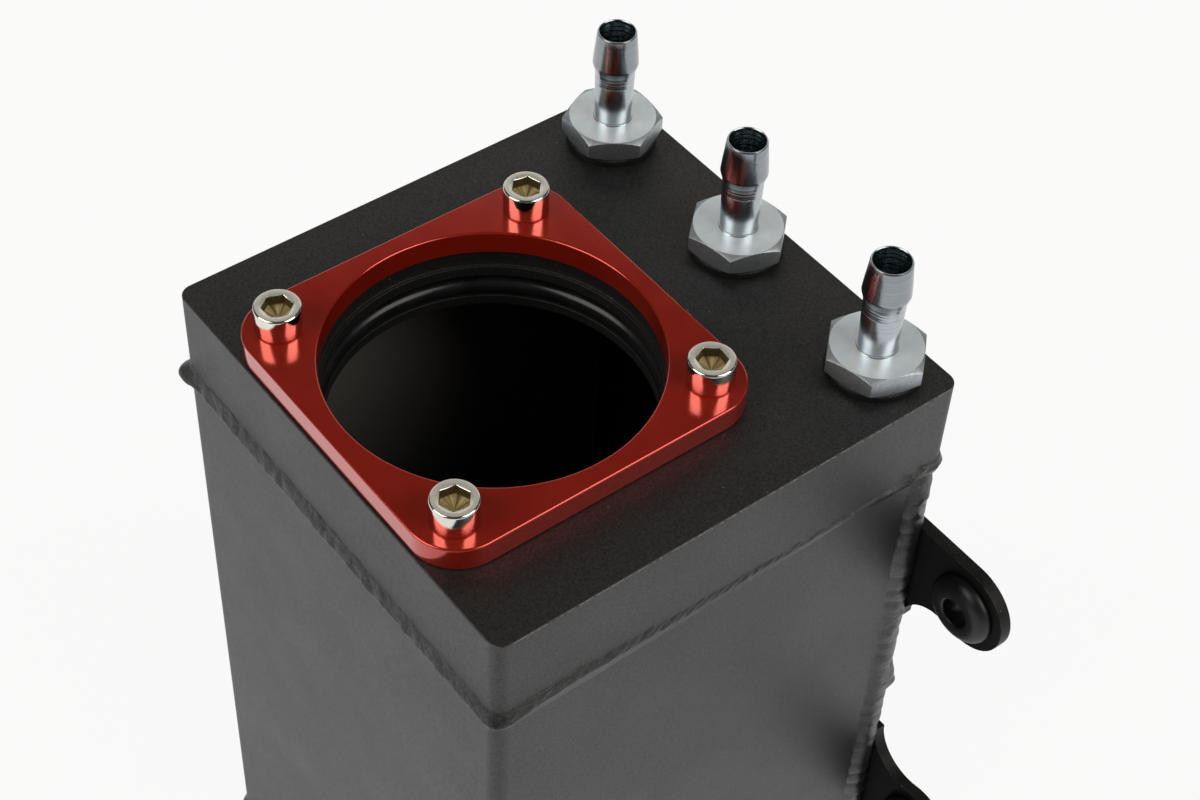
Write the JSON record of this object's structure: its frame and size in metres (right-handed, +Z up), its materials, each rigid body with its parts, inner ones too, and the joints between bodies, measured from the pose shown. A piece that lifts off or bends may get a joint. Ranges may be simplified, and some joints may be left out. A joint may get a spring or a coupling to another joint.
{
  "type": "fuel swirl pot",
  "caption": "Square fuel swirl pot with a pump bore under a bolted square clamp ring, a row of barbed hose tails behind it and a back plate with eared mounting holes.",
  "frame": {"origin": "middle of the bottom face of the tank, on the surface that it stands on", "axes": "+Z up, out of the pump bore; -Y out of the front wall; +Y out of the back plate, towards what the ears bolt to; +X to the right as seen from the front"},
  "size_m": [0.147, 0.1036, 0.1963],
  "materials": {
    "coat": "fine textured black coat",
    "ring": "glossy red anodised",
    "screw": "bright nickel plated",
    "zinc": "bright zinc plated, turned",
    "washer": "satin black",
    "rubber": "glossy black"
  },
  "bodies": {
    "root": {"body_shell": "coat", "back_plate": "coat", "bottom_plate": "coat", "top_block": "coat", "weld_top": "coat", "weld_bottom": "coat", "weld_rear_left": "coat", "weld_rear_right": "coat", "clamp_ring": "ring", "clamp_screws": "screw", "pump_seal": "rubber", "hose_tail_left": "zinc", "hose_tail_middle": "zinc", "hose_tail_right": "zinc", "seal_washer_left": "washer", "seal_washer_middle": "washer", "seal_washer_right": "washer", "grommet_upper_left": "rubber", "grommet_upper_right": "rubber", "grommet_lower_left": "rubber", "grommet_lower_right": "rubber"}
  },
  "joints": []
}
